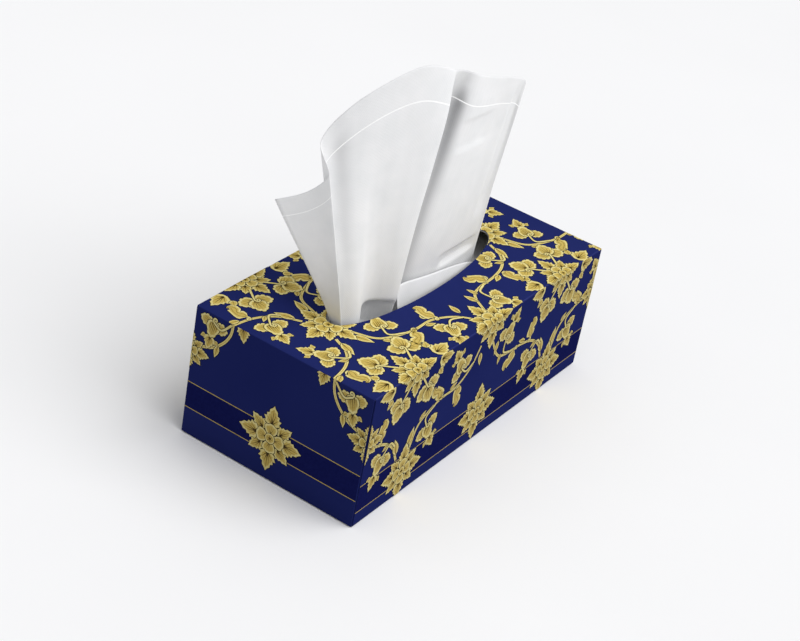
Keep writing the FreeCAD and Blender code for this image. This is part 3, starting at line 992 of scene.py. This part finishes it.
def spline_weights(count, degree, samples):
    """Weight of each pole of a clamped even spline at evenly spaced samples."""
    spans = count - degree
    knots = np.array([0.0] * degree + list(range(spans + 1)) + [float(spans)] * degree)
    places = np.linspace(0.0, spans, samples)
    places[-1] -= 1e-9
    weights = np.array(
        [(knots[k] <= places) & (places < knots[k + 1]) for k in range(len(knots) - 1)], float
    )
    for order in range(1, degree + 1):
        raised = np.zeros((len(weights) - 1, samples))
        for k in range(len(raised)):
            before = knots[k + order] - knots[k]
            after = knots[k + order + 1] - knots[k + 1]
            if before > 0:
                raised[k] += (places - knots[k]) / before * weights[k]
            if after > 0:
                raised[k] += (knots[k + order + 1] - places) / after * weights[k + 1]
        weights = raised
    return weights


def surface_points(net, across_count, up_count):
    """Points of the surface that the poles carry: cubic across it and quadratic up it."""
    across = spline_weights(net.shape[0], 3, across_count)
    up = spline_weights(net.shape[1], 2, up_count)
    return np.einsum("ia,jb,ijc->abc", across, up, net)


def surface_normals(points):
    normals = np.cross(np.gradient(points, axis=0), np.gradient(points, axis=1))
    return normals / np.maximum(np.linalg.norm(normals, axis=2, keepdims=True), 1e-9)


def sheet_lengths(points):
    """Length across and distance from the free edge at each point, in millimetres."""
    across = np.linalg.norm(np.diff(points, axis=0), axis=2).mean(axis=1)
    across = np.concatenate(([0.0], np.cumsum(across)))
    up = np.linalg.norm(np.diff(points, axis=1), axis=2).mean(axis=0)
    up = np.concatenate(([0.0], np.cumsum(up)))
    return across * SHEET_WIDTH / across[-1], up[-1] - up


def ripple(across, down, seed, pitch, stretch):
    return noise.noise(Vector((across / pitch, down / (pitch * stretch), seed)))


# Places where the pulled sheet is pushed in: centre x, height over the rim, half width,
# half height, push towards +X and push towards +Y, in millimetres
DENTS = (
    (-45.0, -6.0, 8.5, 9.6, 2.0, 9.0),
    (29.0, 8.6, 17.0, 4.0, 0.0, 2.4),
    (10.0, 92.0, 13.0, 9.0, 0.0, 0.9),
    (41.0, 70.0, 4.5, 40.0, 0.0, 1.3),
)


# Painted shade in the deep folds of the pulled sheet, a soft grey in its colour: place and width
# across it as shares of its width, strength at the rim and strength at the free edge
PAINTED_FOLD_SHADES = ((0.768, 0.022, 0.5, 0.95), (0.945, 0.01, 0.1, 0.45), (0.325, 0.02, 0.0, 0.4))
SHADE_RISE = 110.0
SHADE_FADE = 14.0


def paint_fold_shade(mesh, points):
    """The painted shade of the folds as an attribute; it is weaker within the pressed line."""
    columns, rows = points.shape[:2]
    height = np.clip((points[:, :, 2] - HEIGHT) / SHADE_RISE, 0.0, 1.0)
    across = np.linspace(0.0, 1.0, columns)[:, None]
    under_hem = np.clip(sheet_lengths(points)[1] / SHADE_FADE - 0.3, 0.25, 1.0)
    outside = under_hem * (points[:, :, 2] > HEIGHT - 2.0)
    shade = np.zeros((columns, rows))
    for place, width, low, high in PAINTED_FOLD_SHADES:
        strength = low + (high - low) * height
        shade += strength * np.exp(-(((across - place) / width) ** 2)) * outside
    layer = mesh.attributes.new("painted_fold_shade", "FLOAT", "POINT")
    layer.data.foreach_set("value", np.minimum(shade, 1.0).reshape(-1).tolist())


def dented(points):
    """The sheet with each dent pushed in, fading out smoothly round it."""
    moved = points.copy()
    for x, height, half_width, half_height, push_x, push_y in DENTS:
        across = (points[:, :, 0] - x) / half_width
        up = (points[:, :, 2] - HEIGHT - height) / half_height
        share = np.exp(-(across ** 6) - up ** 10)
        moved[:, :, 0] += push_x * share
        moved[:, :, 1] += push_y * share
    return moved


CREASE_SEED = 3.0
CREASE_DEPTH = 0.6
CREASE_RISE = 25.0


def creased(points):
    """Soft waves and fine creases that run up from the rim, small near the rim."""
    across, down = sheet_lengths(points)
    normals = surface_normals(points)
    height = np.clip((points[:, :, 2] - HEIGHT) / CREASE_RISE, 0.0, 1.0)
    offset = np.zeros(points.shape[:2])
    for i, j in np.argwhere(height > 0):
        broad = ripple(across[i], down[j], CREASE_SEED, 16.0, 3.0)
        fine = ripple(across[i], down[j], CREASE_SEED + 9.0, 5.0, 4.0)
        offset[i, j] = CREASE_DEPTH * (broad + 0.25 * fine)
    return points + normals * (offset * height)[:, :, None]


def sheet_mesh(name, points):
    across, down = sheet_lengths(points)
    columns, rows = points.shape[:2]
    faces = [
        (i * rows + j, (i + 1) * rows + j, (i + 1) * rows + j + 1, i * rows + j + 1)
        for i in range(columns - 1) for j in range(rows - 1)
    ]
    mesh = bpy.data.meshes.new(name)
    mesh.from_pydata((points.reshape(-1, 3) * MM).tolist(), [], faces)
    layer = mesh.uv_layers.new(name="sheet")
    for loop in mesh.loops:
        i, j = divmod(loop.vertex_index, rows)
        layer.data[loop.index].uv = (across[i] * MM, down[j] * MM)
    mesh.polygons.foreach_set("use_smooth", [True] * len(faces))
    return mesh


def add_piece(name, mesh, slot, *nodes):
    piece = bpy.data.objects.new(name, mesh)
    bpy.context.scene.collection.objects.link(piece)
    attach(piece, "root")
    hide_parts(*nodes)
    return piece


def thicken(piece):
    layer = piece.modifiers.new("two_ply", "SOLIDIFY")
    layer.thickness = SHEET_DRAWN * MM
    layer.offset = 0.0


def make_sheet(name, points, node, finish):
    piece = add_piece(name, sheet_mesh(name, points), "tissue", node)
    piece.data.materials.append(finish)
    thicken(piece)
    return piece


def make_sheets(finish):
    pulled = dented(creased(surface_points(pulled_net(), *PULLED_GRID)))
    pulled_piece = make_sheet("pulled_tissue_sheet", pulled, "pulled_tissue", finish)
    # Painted shade for the pulled sheet's deep folds, kept as an attribute that the paper reads
    paint_fold_shade(pulled_piece.data, pulled)
    following = surface_points(next_net(), *NEXT_GRID)
    next_piece = make_sheet("next_tissue_sheet", following, "next_tissue", finish)


# Profile of one layer of the stack: share of its height, and how far it bulges
LAYER_PROFILE = ((0.1, -0.45), (0.5, 0.0), (0.9, -0.45))


def stack_outline():
    """Right half of the stack's outline: each layer is a small bulge at its folded side."""
    bottom = BOARD
    step = (STACK_TOP - bottom) / SHEET_LAYERS
    outline = []
    for k in range(SHEET_LAYERS):
        tuck = 0.35 * noise.noise(Vector((k * 0.7, 4.0, 0.0)))
        for share, bulge in LAYER_PROFILE:
            level = bottom + step * (k + share)
            edge = min(level - bottom, STACK_TOP - level)
            rounding = -2.0 * max(0.0, 1 - edge / 3.0) ** 2
            outline.append((STACK_WIDTH / 2 + bulge + tuck + rounding - 0.4, level))
    return outline


def make_stack():
    """Stack of folded sheets, with a slight sway along its length."""
    outline = stack_outline()
    loop = [(-y, z) for y, z in outline] + outline[::-1]
    vertices = []
    for i in range(STACK_COLUMNS + 1):
        x = STACK_LENGTH * (i / STACK_COLUMNS - 0.5)
        sway = 0.3 * noise.noise(Vector((x / 30.0, 0.0, 2.0)))
        vertices.extend((x * MM, (y + sway) * MM, z * MM) for y, z in loop)
    count = len(loop)
    faces = []
    for i in range(STACK_COLUMNS):
        here, there = i * count, (i + 1) * count
        for k in range(count):
            ahead = (k + 1) % count
            faces.append((here + k, here + ahead, there + ahead, there + k))
    for i in (0, STACK_COLUMNS):
        left, right = i * count, (i + 1) * count - 1
        for k in range(len(outline) - 1):
            faces.append((left + k, left + k + 1, right - 1 - k, right - k))
    mesh = bpy.data.meshes.new("tissue_stack_sheets")
    mesh.from_pydata(vertices, [], faces)
    mesh.materials.append(stack_finish())
    add_piece("tissue_stack_sheets", mesh, "tissue", "tissue_stack")


# Stage

def make_camera():
    azimuth = math.radians(CAMERA_AZIMUTH)
    dip = math.radians(CAMERA_DIP)
    roll = math.radians(CAMERA_ROLL)
    forward = Vector((
        math.cos(dip) * math.sin(azimuth), math.cos(dip) * math.cos(azimuth), -math.sin(dip)
    ))
    level = Vector((math.cos(azimuth), -math.sin(azimuth), 0.0))
    up = level.cross(forward)
    right = level * math.cos(roll) + up * math.sin(roll)
    upward = right.cross(forward)
    matrix = Matrix((right, upward, -forward)).transposed().to_4x4()
    matrix.translation = CAMERA_PLACE
    data = bpy.data.cameras.new("camera")
    data.sensor_width = 36.0
    data.lens = CAMERA_LENS
    data.clip_end = 50.0
    camera = bpy.data.objects.new("camera", data)
    camera.matrix_world = matrix
    bpy.context.scene.collection.objects.link(camera)
    bpy.context.scene.camera = camera


def make_floor():
    bpy.ops.mesh.primitive_plane_add(size=FLOOR_SIZE, location=(0, 0, FLOOR_Z))
    floor = bpy.context.object
    floor.name = "floor"
    finish = Finish("pale_floor")
    finish.colour(finish.between(finish.noise(3.0), *FLOOR))
    finish.roughness(0.9)
    floor.data.materials.append(finish.material)


def make_lights():
    sun = bpy.data.lights.new("key", "SUN")
    sun.energy = SUN_STRENGTH
    sun.angle = math.radians(SUN_DEGREES)
    key = bpy.data.objects.new("key", sun)
    key.rotation_euler = Vector(TOWARDS_SUN).to_track_quat("Z", "Y").to_euler()
    bpy.context.scene.collection.objects.link(key)
    world = bpy.data.worlds.new("studio")
    world.use_nodes = True
    background = world.node_tree.nodes["Background"]
    background.inputs["Color"].default_value = WORLD_COLOUR
    background.inputs["Strength"].default_value = WORLD_STRENGTH
    bpy.context.scene.world = world


def dress_carton():
    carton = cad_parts["carton"]
    carton.data.materials.clear()
    carton.data.materials.append(carton_finish())


make_camera()
make_floor()
make_lights()
dress_carton()
make_print()
make_stack()
make_sheets(tissue_finish())
bpy.context.scene.view_settings.view_transform = "Standard"
